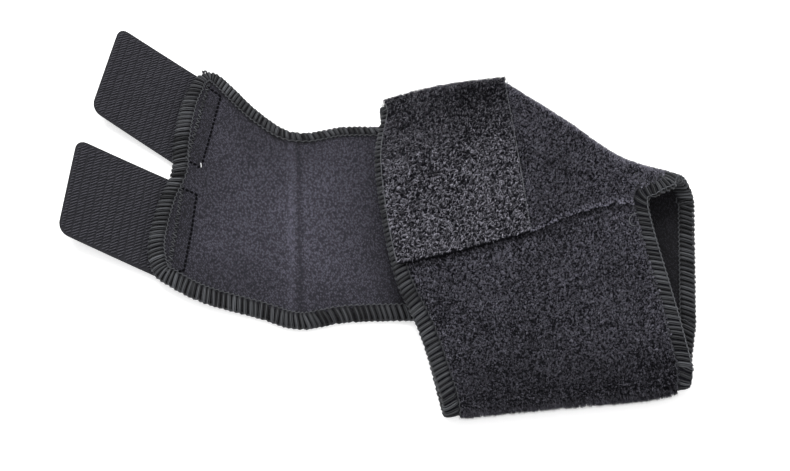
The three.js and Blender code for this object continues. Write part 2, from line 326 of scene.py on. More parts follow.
def merged(nets):
    """Points and quads of several nets that share the points where they meet."""
    points, quads, start = [], [], 0
    for net in nets:
        rows, columns, _ = net.shape
        index = start + np.arange(rows * columns).reshape(rows, columns)
        quads.append(net_quads(index)[:, [0, 3, 2, 1]])
        points.append(net.reshape(-1, 3))
        start += rows * columns
    points, quads = np.vstack(points), np.vstack(quads)
    _, first, inverse = np.unique(np.round(points * 1e3).astype(np.int64), axis=0, return_index=True,
                                  return_inverse=True)
    return points[first], inverse.reshape(-1)[quads]


def point_normals(points, quads):
    """Mean direction of the faces round each point."""
    a, b, c, d = (points[quads[:, k]] for k in range(4))
    face = unit(np.cross(c - a, d - b))
    normals = np.zeros_like(points)
    for k in range(4):
        np.add.at(normals, quads[:, k], face)
    return unit(normals)


def free_edges(quads):
    """Edges with a face on one side only, in the order of that face."""
    edges = np.vstack([quads[:, [k, (k + 1) % 4]] for k in range(4)])
    size = edges.max() + 1
    keys = edges[:, 0] * size + edges[:, 1]
    twins = edges[:, 1] * size + edges[:, 0]
    return edges[~np.isin(keys, twins)]


def thick_sheet(name, nets, outer, inner, materials, tone=None):
    """A closed sheet between two offsets from the middle surface: outer face, inner face, rim."""
    points, quads = merged(nets)
    shade = None if tone is None else np.tile(tone(points), 2)
    normals = point_normals(points, quads)
    both = np.vstack([points + normals * outer, points - normals * inner])
    size = len(points)
    rim = free_edges(quads)
    rim_faces = np.stack([rim[:, 0], rim[:, 0] + size, rim[:, 1] + size, rim[:, 1]], -1)
    faces = np.vstack([quads, quads[:, ::-1] + size, rim_faces])
    slots = np.repeat([0, len(materials) - 1], [len(quads), len(quads) + len(rim_faces)])
    return mesh_object(name, both, faces, materials, shade, slots)


def scatter(grid, count, keep=None):
    """Even random points on a net: positions, outward directions, and the two ways along it."""
    across = np.cross(grid[1:, :-1] - grid[:-1, :-1], grid[:-1, 1:] - grid[:-1, :-1])
    area = np.linalg.norm(across, axis=-1)
    if keep is not None:
        area = area * keep[:-1, :-1]
    cells = random.choice(area.size, count, p=area.ravel() / area.sum())
    i, j = np.unravel_index(cells, area.shape)
    u, v = random.random((2, count, 1))

    def blend(values):
        near = values[i, j] * (1 - v) + values[i, j + 1] * v
        return near * (1 - u) + (values[i + 1, j] * (1 - v) + values[i + 1, j + 1] * v) * u

    along, round_it = np.gradient(grid, axis=(0, 1))
    first = unit(blend(along))
    up = unit(blend(unit(np.cross(along, round_it))))
    return blend(grid), up, first, np.cross(up, first)


def length_from_start(points):
    """Distance of each point from the first row, along its column if there are several."""
    steps = np.linalg.norm(np.diff(points, axis=0), axis=-1)
    return np.concatenate([np.zeros_like(steps[:1]), np.cumsum(steps, 0)])


# Materials

NOISE_DETAIL = 3.0
NOISE_ROUGHNESS = 0.6
FIBRE_CHANGE = 0.07
JERSEY_CHANGE = 0.04
JERSEY_SHEEN = 0.06
FLOOR_GLOW = 0.5

# Knit of the jersey: cells to the metre, turn, squeeze across, depth in metres and weight in the colour
KNIT_SCALE = 1450
KNIT_TURN = 0.7
KNIT_SQUEEZE = 0.72
KNIT_RANDOMNESS = 0.6
KNIT_DEPTH = 0.0003
KNIT_WEIGHT = 0.9

# Painted highlight and painted shade beside the strap's crease: distance from the sleeve and half width in
# mm, and weight
CREASE_TILT = 0.035
CREASE_HIGHLIGHT = (-37.2, 2.6, 0.16)
CREASE_SHADE = (-33.6, 2.2, 0.3)

# Colour sockets of a mix node
MIX_DARK, MIX_LIGHT, MIX_RESULT = 6, 7, 2


def add_node(tree, kind, values=(), **settings):
    """A node with its settings, and with a value or a link on each named input."""
    node = tree.nodes.new(kind)
    for key, value in settings.items():
        setattr(node, key, value)
    for key, value in dict(values).items():
        if isinstance(value, bpy.types.NodeSocket):
            tree.links.new(value, node.inputs[key])
        else:
            node.inputs[key].default_value = value
    return node


def math_node(tree, operation, first, second):
    """One sum of two values or links."""
    return add_node(tree, "ShaderNodeMath", {0: first, 1: second}, operation=operation).outputs[0]


def object_place(tree):
    """Place on the object, in metres."""
    return add_node(tree, "ShaderNodeTexCoord").outputs["Object"]


def shade_of(tree):
    """Painted light and shade, with each fibre's own random tone, that the mesh carries at each point."""
    return add_node(tree, "ShaderNodeAttribute", attribute_name="shade").outputs["Fac"]


def map_range(tree, value, low, high, to_low=0.0, to_high=1.0):
    """A value carried from one range to another, held at its ends."""
    values = {"Value": value, "From Min": low, "From Max": high, "To Min": to_low, "To Max": to_high}
    return add_node(tree, "ShaderNodeMapRange", values).outputs[0]


def noise(tree, scale, low, high, to_low=0.0, to_high=1.0):
    """Noise with a number of grains to the metre, carried from one range to another."""
    values = {"Scale": scale, "Detail": NOISE_DETAIL, "Roughness": NOISE_ROUGHNESS}
    grains = add_node(tree, "ShaderNodeTexNoise", {**values, "Vector": object_place(tree)})
    return map_range(tree, grains.outputs[0], low, high, to_low, to_high)


def mix_colors(tree, factor, dark, light):
    """A colour between two, by a factor."""
    values = {0: factor, MIX_DARK: (*dark, 1), MIX_LIGHT: (*light, 1)}
    return add_node(tree, "ShaderNodeMix", values, data_type="RGBA").outputs[MIX_RESULT]


def bump(tree, height, depth):
    """Direction of a face with a bump of that depth in metres."""
    return add_node(tree, "ShaderNodeBump", {"Distance": depth, "Height": height}).outputs["Normal"]


def empty_material(name):
    """A material with no nodes, and its node tree."""
    material = bpy.data.materials.new(name)
    material.use_nodes = True
    material.node_tree.nodes.clear()
    return material, material.node_tree


def finish(tree, color, roughness, specular, more=()):
    """The main shader with its values, linked to the material's output."""
    values = {"Base Color": color, "Roughness": roughness, "Specular IOR Level": specular, **dict(more)}
    shader = add_node(tree, "ShaderNodeBsdfPrincipled", values)
    add_node(tree, "ShaderNodeOutputMaterial", {"Surface": shader.outputs["BSDF"]})


def fibre_material(name, dark, light, roughness, patch_scale, specular=0.3):
    """Fibres whose light follows the shade of each one and a slow change over the cloth."""
    material, tree = empty_material(name)
    slow = noise(tree, patch_scale, 0.3, 0.7, -FIBRE_CHANGE, FIBRE_CHANGE)
    factor = math_node(tree, "ADD", shade_of(tree), slow)
    finish(tree, mix_colors(tree, factor, dark, light), roughness, specular)
    return material


def grained_material(name, grains, low, high, dark, light, roughness, specular, depth=0.0, glow=0.0):
    """A ground with a grain in its colour and, with a depth in metres, in its face."""
    material, tree = empty_material(name)
    grain = noise(tree, grains, low, high)
    more = {"Emission Color": (1, 1, 1, 1), "Emission Strength": glow}
    if depth:
        more["Normal"] = bump(tree, grain, depth)
    finish(tree, mix_colors(tree, grain, dark, light), roughness, specular, more)
    return material


def painted_crease_line(tree, at, middle, half_width, weight):
    """A painted line across the strap at a distance in mm from the sleeve, with its weight in the colour: the
    crease's painted highlight and painted shade.
    """
    away = math_node(tree, "SUBTRACT", at, (middle + ORIGIN[0]) * MM)
    size = math_node(tree, "ABSOLUTE", away, 0.0)
    return math_node(tree, "MULTIPLY", map_range(tree, size, 0.0, half_width * MM, 1.0, 0.0), weight)


def jersey_material():
    """Smooth jersey with a fine diagonal knit, and a painted highlight and painted shade along a crease
    across the strap.
    """
    material, tree = empty_material("jersey")
    place = object_place(tree)
    turned = {"Rotation": (0, 0, KNIT_TURN), "Scale": (1, KNIT_SQUEEZE, 0), "Vector": place}
    vector = add_node(tree, "ShaderNodeMapping", turned).outputs["Vector"]
    cells = {"Scale": KNIT_SCALE, "Randomness": KNIT_RANDOMNESS, "Vector": vector}
    dots = add_node(tree, "ShaderNodeTexVoronoi", cells)
    knit = map_range(tree, dots.outputs["Distance"], 0.1, 0.62, 1.0, 0.0)
    slow = noise(tree, 60, 0.3, 0.7, -JERSEY_CHANGE, JERSEY_CHANGE)
    axes = add_node(tree, "ShaderNodeSeparateXYZ", {0: place})
    across = math_node(tree, "MULTIPLY", axes.outputs[1], CREASE_TILT)
    at = math_node(tree, "ADD", axes.outputs[0], across)
    # Painted highlight on the crease's ridge and painted shade in its fold line
    highlight_line, shade_line = (painted_crease_line(tree, at, *line) for line in (CREASE_HIGHLIGHT, CREASE_SHADE))
    lines = math_node(tree, "SUBTRACT", highlight_line, shade_line)
    factor = math_node(tree, "ADD", math_node(tree, "MULTIPLY", knit, KNIT_WEIGHT), slow)
    factor = math_node(tree, "ADD", factor, lines)
    color = mix_colors(tree, factor, (0.024, 0.023, 0.031), (0.152, 0.146, 0.194))
    shaded = add_node(tree, "ShaderNodeVectorMath", {0: color, "Scale": shade_of(tree)}, operation="SCALE")
    more = {"Normal": bump(tree, knit, KNIT_DEPTH), "Sheen Weight": JERSEY_SHEEN}
    finish(tree, shaded.outputs[0], 0.85, 0.16, more)
    return material


# The plush ground is darker than the pile's own yarn: painted shade in the gaps between tufts and curls
plush_ground = grained_material(
    "plush_ground", 1100, 0.35, 0.65, (0.006, 0.006, 0.008), (0.018, 0.018, 0.022), 0.95, 0.02, 0.0004)
tape_ground = grained_material(
    "hook_ground", 1500, 0.3, 0.7, (0.014, 0.014, 0.017), (0.024, 0.024, 0.029), 0.75, 0.18, 0.00015)
floor_paper = grained_material(
    "floor_paper", 40, 0.3, 0.7, (0.92, 0.92, 0.92), (0.94, 0.94, 0.94), 0.9, 0.3, glow=FLOOR_GLOW)
jersey = jersey_material()
plush_fibre = fibre_material("plush_fibre", (0.003, 0.003, 0.004), (0.70, 0.687, 0.81), 0.9, 30, 0.06)
patch_fibre = fibre_material("patch_fibre", (0.002, 0.002, 0.003), (0.475, 0.465, 0.540), 0.9, 40, 0.06)
hook_fibre = fibre_material("hook_fibre", (0.016, 0.016, 0.020), (0.082, 0.080, 0.098), 0.55, 60)
thread_fibre = fibre_material("thread_fibre", (0.003, 0.003, 0.004), (0.150, 0.156, 0.170), 0.6, 50)
# Near black: the stitch thread with painted shade of the holes it sinks into
stitch_and_shade_fibre = fibre_material("stitch_and_shade_fibre", (0.004, 0.004, 0.005), (0.02, 0.02, 0.024), 0.9, 50, 0.02)
# A pale thread whose colour is a painted highlight, a glint on a thread end
glint_fibre = fibre_material("glint_thread_fibre", (0.35, 0.35, 0.36), (0.8, 0.8, 0.82), 0.6, 50)


# Fabric of the two panels

RIM_INSET = 0.9
PILE_GROUND = 1.05
JERSEY_FACE = FABRIC_THICKNESS / 2
STATION_STEPS = 72
STRAP_STEPS = 64
BACK_SHARES = np.linspace(0, 1, 46)
RIM_STATIONS = RIM_INSET * LAST_STATION / SLEEVE_LENGTH
SOLE_GAP = 0.012


def station_net(places, left_inset=1.0):
    """Net over the sleeve that stops short of its openings, on the left by a share of the rim."""
    share = np.linspace(0, 1, STATION_STEPS + 1)[:, None]
    first, last = RIM_STATIONS * left_inset, LAST_STATION - RIM_STATIONS
    return sleeve_point(first + (last - first) * share, places)


def joined_places(*pairs):
    """Places through several runs, each with its number of steps."""
    runs = [np.linspace(a, b, n + 1)[1:] for a, b, n in pairs]
    return np.concatenate([[pairs[0][0]], *runs])


def wrap_nets():
    """Middle surface of the wrap panel: its part of the sleeve, then the strap."""
    front = joined_places((SEAM, UPPER, 24), (UPPER, FAR_TOP, 22), (FAR_TOP, FAR_BASE, 18))
    places = np.concatenate([front, FAR_BASE + BACK_SHARES[1:]])
    sleeve = station_net(places, np.where(places < FAR_BASE, 1.0, 0.0))
    station = np.linspace(0, STRAP_LAST - RIM_INSET * STRAP_LAST / STRAP_LENGTH, STRAP_STEPS + 1)[:, None]
    narrow = 1 - 2 * RIM_INSET / STRAP_WIDTH * np.minimum(1, station * 4)
    strap = strap_point(station, 0.5 + (BACK_SHARES - 0.5) * narrow)
    return [sleeve, strap[::-1]]


def sole_nets():
    """Middle surface of the sole panel, with a gap in places at both its seams."""
    places = joined_places((BACK + SOLE_GAP, NEAR_BASE, 14), (NEAR_BASE, NEAR_TOP, 16),
                           (NEAR_TOP, LOWER, 20), (LOWER, CLOSE - SOLE_GAP, 20))
    return [station_net(places)]


def nearest(points, others):
    """Distance from each point to the nearest of some others."""
    parts = np.array_split(points, 40)
    return np.concatenate([np.sqrt(((part[:, None] - others) ** 2).sum(2).min(1)) for part in parts])


def smooth_step(values, low, high):
    """Rises from nothing at low to one at high, level at both."""
    share = np.clip((values - low) / (high - low), 0, 1)
    return share * share * (3 - 2 * share)


def free_rim():
    """Points along every free edge of the strap and the sleeve."""
    stations = np.linspace(0, STRAP_LAST, 400)
    return np.vstack([
        sleeve_point(LAST_STATION, np.linspace(SEAM, CLOSE, 400)),
        sleeve_point(0, np.linspace(BACK, CLOSE, 300)),
        sleeve_point(0, np.linspace(SEAM, FAR_BASE, 200)),
        strap_point(stations, 0),
        strap_point(stations, 1),
        strap_point(STRAP_LAST, np.linspace(0, 1, 200)),
    ])


def on_tab(index, plan):
    """Reach and distance across in mm of plan points on a hook tab."""
    _, heading, across, _ = TABS[index]
    basis = np.stack([plan_way(heading), plan_way(across)], 1)
    return (plan - tab_point(index, 0.0, 0.0)) @ np.linalg.inv(basis).T


RIM_POINTS = free_rim()

# Light on the inner face, and the distances in mm over which it changes
SLEEVE_SHADE = 0.8
SLEEVE_SHADE_SPAN = (-8, 20)
STRAP_END_LIGHT = 0.78
STRAP_END_SPAN = (-62, -22)
BAND_FOOT_LIGHT = 0.12
BAND_STEP_LIGHT = 0.56
BAND_STEP_SPAN = (5.6, 7.6)
BAND_FAR_LIGHT = 0.36
BAND_FAR_SPAN = (7, 36)
TAB_SEAT_SHADE = 0.25


def inner_tone(points):
    """Light that reaches the inner face: most on the open strap, little in the sleeve and by the bands."""
    tone = 1 - SLEEVE_SHADE * smooth_step(points[:, 0], *SLEEVE_SHADE_SPAN)
    tone = tone * (STRAP_END_LIGHT + (1 - STRAP_END_LIGHT) * smooth_step(points[:, 0], *STRAP_END_SPAN))
    away = nearest(points, RIM_POINTS)
    step, far = smooth_step(away, *BAND_STEP_SPAN), smooth_step(away, *BAND_FAR_SPAN)
    tone = tone * (BAND_FOOT_LIGHT + BAND_STEP_LIGHT * step + BAND_FAR_LIGHT * far)
    for index in range(len(TABS)):
        reach, across = on_tab(index, points[:, :2]).T
        on_seat = smooth_step(across, 2.5, 5) * smooth_step(-across, -46, -43.5)
        on_seat = on_seat * (smooth_step(-reach, 4, 6) * smooth_step(reach, -TAB_SEWN_LENGTH, -14.5))
        tone = tone * (1 - TAB_SEAT_SHADE * on_seat)
    return tone


def panel_fabric(node, nets):
    """Fabric sheet of one panel, plush outside and jersey inside."""
    made = thick_sheet(f"{node}_fabric", nets, PILE_GROUND, JERSEY_FACE, [plush_ground, jersey], inner_tone)
    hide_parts(node)
    return made


wrap_fabric = panel_fabric("wrap_panel", wrap_nets())
sole_fabric = panel_fabric("sole_panel", sole_nets())


# Loop patch

PATCH_BOTTOM = FABRIC_THICKNESS / 2 + PIECE_GAP
PATCH_GROUND = 1.0
FIRST_GUIDE_STEP = SLEEVE_LENGTH * (SLEEVE_GUIDES["upper"][1][0] - SLEEVE_GUIDES["upper"][0][0])
PATCH_START = PATCH_EDGE_INSET / FIRST_GUIDE_STEP
CURLS = 16400
CURL_HEIGHT = 1.25
CURL_RADIUS = 0.56
CURL_WIDTH = 0.22
CURL_WAY = 0.8
CURL_POINTS = 7
RIM_LIFT = 1.1
RIM_RADIUS = 0.24
RIM_TONE = 0.8


def patch_grid(offset):
    """Net over the loop patch, at an offset from the sleeve's middle surface."""
    stations = np.linspace(PATCH_START, PATCH_STATION, 60)[:, None]
    places = joined_places((SEAM, UPPER, 30), (UPPER, FAR_TOP, 26), (FAR_TOP, FAR_TOP + PATCH_WRAP_SHARE, 14))
    return over_sleeve(stations, places, offset)[0]


half_ground = PATCH_GROUND / 2
patch_net = patch_grid(PATCH_BOTTOM + half_ground)
patch_base = thick_sheet("loop_patch_ground", [patch_net], half_ground, half_ground, [plush_ground])
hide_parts("loop_patch")


def past_line(plan, place):
    """How far plan points lie towards +Y from the line along the sleeve at one place round it."""
    line_points = sleeve_point(np.linspace(0, LAST_STATION, 80), place)
    order = np.argsort(line_points[:, 0])
    return plan[:, 1] - np.interp(plan[:, 0], line_points[order, 0], line_points[order, 1])


def light_from_above(up):
    """Less light where the surface turns away from above."""
    return np.clip(0.45 + 0.6 * up[:, 2], 0.3, 1)


def wrap_light(root, up):
    """Painted light: a painted highlight along the seam, where a ridge would catch light, times the light
    from above.
    """
    seam_highlight = np.exp(-(past_line(root, SEAM) / 1.9) ** 2)
    return (1 + 1.9 * seam_highlight) * light_from_above(up)


def sole_light(root, up):
    """Painted shade: dark beside the seam and towards the near fold, times the light from above."""
    clear_of_seam_shade = smooth_step(-past_line(root, SEAM), 0.8, 4.2)
    # Painted shade towards the near fold, where the surface turns away from the light
    fold = smooth_step(past_line(root, NEAR_TOP), -2, 26)
    return (0.45 + 0.55 * clear_of_seam_shade) * (0.6 + 0.4 * fold) * light_from_above(up)


def curl_pile():
    """Curled loops of yarn on the patch, each a band that rises, turns over and comes down."""
    root, up, first, second = scatter(patch_grid(PATCH_BOTTOM + PATCH_GROUND), CURLS)
    # Painted shade: the curls darker towards the far fold, where the patch turns away from the light
    painted_light = 0.38 + 0.62 * smooth_step(-past_line(root, FAR_TOP), 2, 44)
    way = CURL_WAY + random.normal(0, 0.75, (CURLS, 1)) + math.pi * random.integers(0, 2, (CURLS, 1))
    ahead = np.cos(way) * first + np.sin(way) * second
    lean = random.normal(0, 0.3, (CURLS, 1)) * first + random.normal(0, 0.3, (CURLS, 1)) * second
    up = unit(up + lean)
    longer = 1 + 0.5 * smooth_step(-up[:, 2:], -0.75, -0.2)
    size = random.uniform(0.7, 1.25, (CURLS, 1, 1)) * longer[..., None]
    steps = np.linspace(-0.35, 1.25, CURL_POINTS)[None, :, None] * math.pi
    rise = CURL_HEIGHT * size * (0.55 + 0.45 * np.sin(steps - 0.2))
    run = CURL_RADIUS * size * (-np.cos(steps))
    twist = random.normal(0, 0.25, (CURLS, 1, 1)) * CURL_RADIUS * np.sin(2 * steps)
    side = unit(np.cross(up, ahead))
    paths = root[:, None] + up[:, None] * rise + ahead[:, None] * run + side[:, None] * twist
    turn = random.uniform(-0.9, 0.9, (CURLS, 1, 1))
    flat = unit(side[:, None] * np.cos(turn) + up[:, None] * np.sin(turn))
    edge = flat * CURL_WIDTH / 2
    points = np.stack([paths - edge, paths + edge], 2)
    faces = net_quads(np.arange(points.size // 3).reshape(points.shape[:3]))
    tone = (random.beta(0.8, 1.5, CURLS) * painted_light)[:, None, None]
    # Painted shade at each curl's root and painted light at its top
    high = np.clip(rise / CURL_HEIGHT, 0, 1.3)
    shade = np.broadcast_to(tone * (0.05 + 0.95 * high ** 1.6), (CURLS, CURL_POINTS, 2))
    return mesh_object("loop_patch_pile", points.reshape(-1, 3), faces, [patch_fibre], shade)


def tuft_pile(name, grid, count, light, keep):
    """Small tufts whose fibres lean together, with dark gaps between the tufts."""
    spots = scatter(grid, count, keep)
    root, up, first, second = (np.repeat(values, FIBRES_IN_TUFT, axis=0) for values in spots)
    total = count * FIBRES_IN_TUFT

    def moved_by(deviation, fibres):
        ways = (random.normal(0, deviation, (total // fibres, 1)) for _ in range(2))
        a, b = (np.repeat(way, fibres, axis=0) for way in ways)
        return a * first + b * second

    painted_light = light(root, up)
    root = root + moved_by(ROOT_SPREAD, 1)
    tuft_lean = moved_by(LEAN, FIBRES_IN_TUFT)
    tip_way = unit(up + tuft_lean + moved_by(LEAN, 1))
    tuft_size = np.repeat(random.uniform(0.7, 1.2, (count, 1)), FIBRES_IN_TUFT, axis=0)
    size = TUFT_HEIGHT * tuft_size * random.uniform(0.6, 1.15, (total, 1))
    size = size * (1 + 1.1 * smooth_step(-up[:, 2:], -0.6, 0.1))
    turn = random.uniform(0, 2 * math.pi, (total, 1))
    flat = (np.cos(turn) * first + np.sin(turn) * second) * FIBRE_WIDTH / 2
    points = np.stack([root - flat, root + flat, root + tip_way * size], 1).reshape(-1, 3)
    tuft_tone = np.repeat(random.beta(1.0, 1.6, count), FIBRES_IN_TUFT)
    tone = np.clip(tuft_tone + random.normal(0.0, 0.12, total), 0, 1)
    # Painted shade at each fibre's root and painted light at its tip, times the painted light of its place
    shade = (tone * painted_light)[:, None] * np.array([0.05, 0.05, 1.3])
    faces = np.arange(total * 3).reshape(-1, 3)
    return mesh_object(name, points, faces, [plush_fibre], shade, smooth=False)


patch_pile = curl_pile()


def patch_rim(name, station):
    """Melted edge of the patch's tape, a thin line along one of its sides."""
    places = np.linspace(SEAM + 0.005, FAR_TOP + 0.2, 120)
    path, up = over_sleeve(station, places, PATCH_BOTTOM + RIM_LIFT)
    return tubes(name, path[None], RIM_RADIUS, 5, up[None], thread_fibre, RIM_TONE)


patch_rims = [
    patch_rim("loop_patch_rim_left", PATCH_START - 0.004),
    patch_rim("loop_patch_rim_right", PATCH_STATION + 0.006),
]


# Pile on the outer faces

BAND_WIDTH = 6.5
FIBRES_IN_TUFT = 6
TUFT_HEIGHT = 1.15
FIBRE_WIDTH = 0.32
ROOT_SPREAD = 0.13
LEAN = 0.22


def clear_of_bands(stations, places):
    """One where a net point is clear of the sewn bands at both openings."""
    every = np.linspace(0, LAST_STATION, 200)
    lengths = length_from_start(sleeve_point(every[:, None], places))
    here = np.stack([np.interp(stations[:, 0], every, column) for column in lengths.T], 1)
    return ((here > BAND_WIDTH) & (lengths[-1] - here > BAND_WIDTH)).astype(float)


def panel_pile(node, first, runs, tufts, light):
    """Pile of one panel between its sewn bands, and the net that it stands on."""
    stations = np.linspace(first, LAST_STATION, 140)[:, None]
    places = joined_places(*runs)
    top, _ = over_sleeve(stations, places, PILE_GROUND)
    return tuft_pile(f"{node}_pile", top, tufts, light, clear_of_bands(stations, places)), top


wrap_runs = [(SEAM + 0.01, UPPER, 40), (UPPER, FAR_TOP, 40), (FAR_TOP, FAR_BASE - 0.25, 20)]
sole_runs = [(NEAR_BASE + 0.3, NEAR_TOP, 20), (NEAR_TOP, LOWER, 40), (LOWER, CLOSE - 0.01, 40)]
wrap_pile, wrap_top = panel_pile("wrap_panel", PATCH_STATION - 0.05, wrap_runs, 15200, wrap_light)
sole_pile, sole_top = panel_pile("sole_panel", 0, sole_runs, 31600, sole_light)


# Hook tabs

TAB_GROUND = 0.5
TAB_END_SHARES = np.array([0, 0.005, 0.015, 0.03, 0.055])
TAB_DROP = FABRIC_THICKNESS / 2 + PIECE_GAP + TAB_THICKNESS / 2
HOOK_HEIGHT = 0.5
HOOK_RADIUS = 0.24
HOOK_HALF_LENGTH = 0.78
HOOK_SINK = 0.12
HOOK_PITCH = 0.95
HOOK_ROW_PITCH = 1.5
HOOK_COLUMN_PITCH = 3.9
HOOK_ROW_WAY = 26
HOOKS_IN_ROW = 3
HOOK_COLUMNS = 20
HOOK_ROWS = 50
HOOK_EDGE = 1.2


def tab_net(index):
    """Middle surface of a hook tab, under the strap's own."""
    along = np.linspace(0, 1, 36)[:, None]
    shares = np.concatenate([TAB_END_SHARES, np.linspace(0.09, 0.91, 20), 1 - TAB_END_SHARES[::-1]])
    side = np.minimum(shares, 1 - shares) * TAB_WIDTH
    cut = along * corner_cut(side, TAB_CORNER_RADIUS)
    reach = along * (TAB_LENGTH + TAB_SEWN_LENGTH) - TAB_SEWN_LENGTH - cut
    return on_flat(tab_point(index, reach, shares)) - (0, 0, TAB_DROP)


def hooks(index, name):
    """Short slanted rows of hooks, in columns that each start at a place of their own."""
    ahead, down = plan_way(HOOK_ROW_WAY), plan_way(TABS[index][2])
    column, row = np.mgrid[-HOOK_COLUMNS:HOOK_COLUMNS + 1, -HOOK_ROWS:HOOK_ROWS + 1]
    row = row + random.uniform(0, 1, (len(row), 1))
    middle = tab_point(index, TAB_LENGTH / 2, 0.5) + column[..., None] * HOOK_COLUMN_PITCH * ahead
    middle = (middle + row[..., None] * HOOK_ROW_PITCH * down).reshape(-1, 2)
    middle = middle + random.normal(0, 0.1, middle.shape)
    step = (np.arange(HOOKS_IN_ROW) - (HOOKS_IN_ROW - 1) / 2) * HOOK_PITCH
    root = (middle[:, None] + step[:, None] * ahead).reshape(-1, 2)
    reach, over = on_tab(index, root).T
    end, side = TAB_LENGTH - reach, np.minimum(over, TAB_WIDTH - over)
    corner = np.hypot(np.maximum(TAB_CORNER_RADIUS - end, 0), np.maximum(TAB_CORNER_RADIUS - side, 0))
    keep = (end > HOOK_EDGE) & (side > HOOK_EDGE) & (corner < TAB_CORNER_RADIUS - HOOK_EDGE)
    root = root[keep & (reach > -TAB_SEWN_LENGTH)]
    count = len(root)
    root = root + random.normal(0, 0.05, root.shape)
    steps = np.linspace(-1, 1, 6)[None, :]
    half = HOOK_HALF_LENGTH * random.uniform(0.8, 1.2, (count, 1))
    points = on_flat(root[:, None] + (steps * half)[..., None] * ahead)
    arch = HOOK_HEIGHT * (1 - steps ** 4) * random.uniform(0.75, 1.1, (count, 1))
    points[..., 2] += -TAB_DROP + TAB_GROUND / 2 + arch - HOOK_SINK
    # Painted light: each hook lighter at the top of its arch, with a random tone of its own
    tone = random.normal(0.4, 0.16, (count, 1, 1)) + 0.7 * (arch[:, :, None] / HOOK_HEIGHT - 0.3)
    return tubes(name, points, HOOK_RADIUS, 4, UP, hook_fibre, np.clip(tone, 0, 1))


tab_bases, tab_hooks = [], []
half_tape = TAB_GROUND / 2
for index, (tab_name, *_) in enumerate(TABS):
    base = thick_sheet(f"{tab_name}_tape", [tab_net(index)[::-1]], half_tape, half_tape, [tape_ground])
    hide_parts(tab_name)
    tab_bases.append(base)
    tab_hooks.append(hooks(index, f"{tab_name}_hooks"))


# Overlock sewing round the free edges

EDGE_STEP = 0.2
FAR_BAND_CUT = 0.26
ON_SLEEVE, ON_STRAP = 0, 1


class Edge:
    """A free edge of the sleeve and strap as a closed, even run of samples."""

    def __init__(self, *runs):
        surface, first, second = (np.concatenate(column) for column in zip(*runs))
        on_sleeve = (surface == ON_SLEEVE)[:, None]
        points = np.where(on_sleeve, sleeve_point(first, second), strap_point(first, second))
        keep = np.concatenate([[True], np.linalg.norm(np.diff(points, axis=0), axis=1) > 1e-4])
        surface, first, second, points = (values[keep] for values in (surface, first, second, points))
        at = length_from_start(points)
        self.length = at[-1]
        self.at = np.linspace(0, self.length, int(self.length / EDGE_STEP))
        before = np.clip(np.searchsorted(at, self.at - 1e-9, side="right") - 1, 0, len(at) - 2)
        after = before + 1
        share = (self.at - at[before]) / (at[after] - at[before])
        same = surface[before] == surface[after]
        self.surface = surface[after]
        self.points = np.stack([np.interp(self.at, at, points[:, k]) for k in range(3)], -1)
        self.first, self.second = (
            np.where(same, values[before] + share * (values[after] - values[before]), values[after])
            for values in (first, second))
        self.set_frames()

    def set_frames(self):
        """Outward and inward directions, smoothed along the edge."""
        along, round_it = sleeve_slopes(self.first, self.second)
        flat = (self.surface == ON_STRAP)[:, None]
        slope = (strap_height(self.points[:, 0] + 0.1) - strap_height(self.points[:, 0] - 0.1)) / 0.2
        strap_up = unit(np.stack([slope, 0 * slope, np.full_like(slope, -1.0)], -1))
        up = np.where(flat, strap_up, unit(np.cross(along, round_it)))
        inward = np.cross(up, unit(np.gradient(self.points, axis=0)))
        from_strap = strap_point(np.clip(self.first, 0.6, STRAP_LAST - 1.2), 0.5) - self.points
        from_opening = along * np.where(self.first < LAST_STATION / 2, 1.0, -1.0)[:, None]
        inside = np.where(flat, from_strap, from_opening)
        inward[np.sum(inward * inside, 1) < 0] *= -1
        self.up = self.smoothed(up, 1.0)
        inward = self.smoothed(inward, 3.0)
        self.inward = unit(inward - self.up * np.sum(inward * self.up, 1, keepdims=True))

    def smoothed(self, vectors, reach):
        """Directions averaged over a reach in mm to both sides."""
        half = int(3 * reach / EDGE_STEP)
        weights = np.exp(-0.5 * (np.arange(-half, half + 1) * EDGE_STEP / reach) ** 2)
        weights /= weights.sum()
        padded = np.pad(vectors, ((half, half), (0, 0)), mode="wrap")
        return unit(np.stack([np.convolve(padded[:, k], weights, "valid") for k in range(3)], -1))

    def facing_down(self, at):
        """How far the outward direction points down at distances along the edge."""
        return np.clip(-np.interp(np.mod(at, self.length), self.at, self.up[:, 2]), 0, 1)

    def place(self, at, inward, height):
        """Points at distances along the edge, in from it and out from the middle surface."""
        position = np.mod(at, self.length) / self.at[1]
        i = np.clip(np.floor(position).astype(int), 0, len(self.at) - 2)
        f = (position - i)[..., None]
        nearer = np.where(f[..., 0] < 0.5, i, i + 1)
        flat = self.surface[nearer] == ON_STRAP

        def blend(values):
            return values[i] * (1 - f) + values[i + 1] * f

        points, up, ahead = blend(self.points), unit(blend(self.up)), unit(blend(self.inward))
        inward = inward * (1 - FAR_BAND_CUT * np.clip(-ahead[..., 1], 0, 1) * flat)
        move = ahead * inward[..., None]
        first, second = self.first[nearer], self.second[nearer]
        along, round_it = sleeve_slopes(first, second)
        pairs = (along, along), (along, round_it), (round_it, round_it), (move, along), (move, round_it)
        aa, ar, rr, ma, mr = (np.sum(p * q, -1) for p, q in pairs)
        scale = aa * rr - ar * ar
        moved = sleeve_point(first + (ma * rr - mr * ar) / scale, second + (mr * aa - ma * ar) / scale)
        curved = moved - sleeve_point(first, second) + points
        surface = np.where(flat[..., None], on_flat(points[..., :2] + move[..., :2]), curved)
        return surface + up * height[..., None]


def edge_run(surface, firsts, seconds):
    """Samples of an edge on one surface, from its two numbers on that surface."""
    firsts, seconds = np.broadcast_arrays(np.asarray(firsts, float), np.asarray(seconds, float))
    return np.full(firsts.shape, surface), firsts, seconds


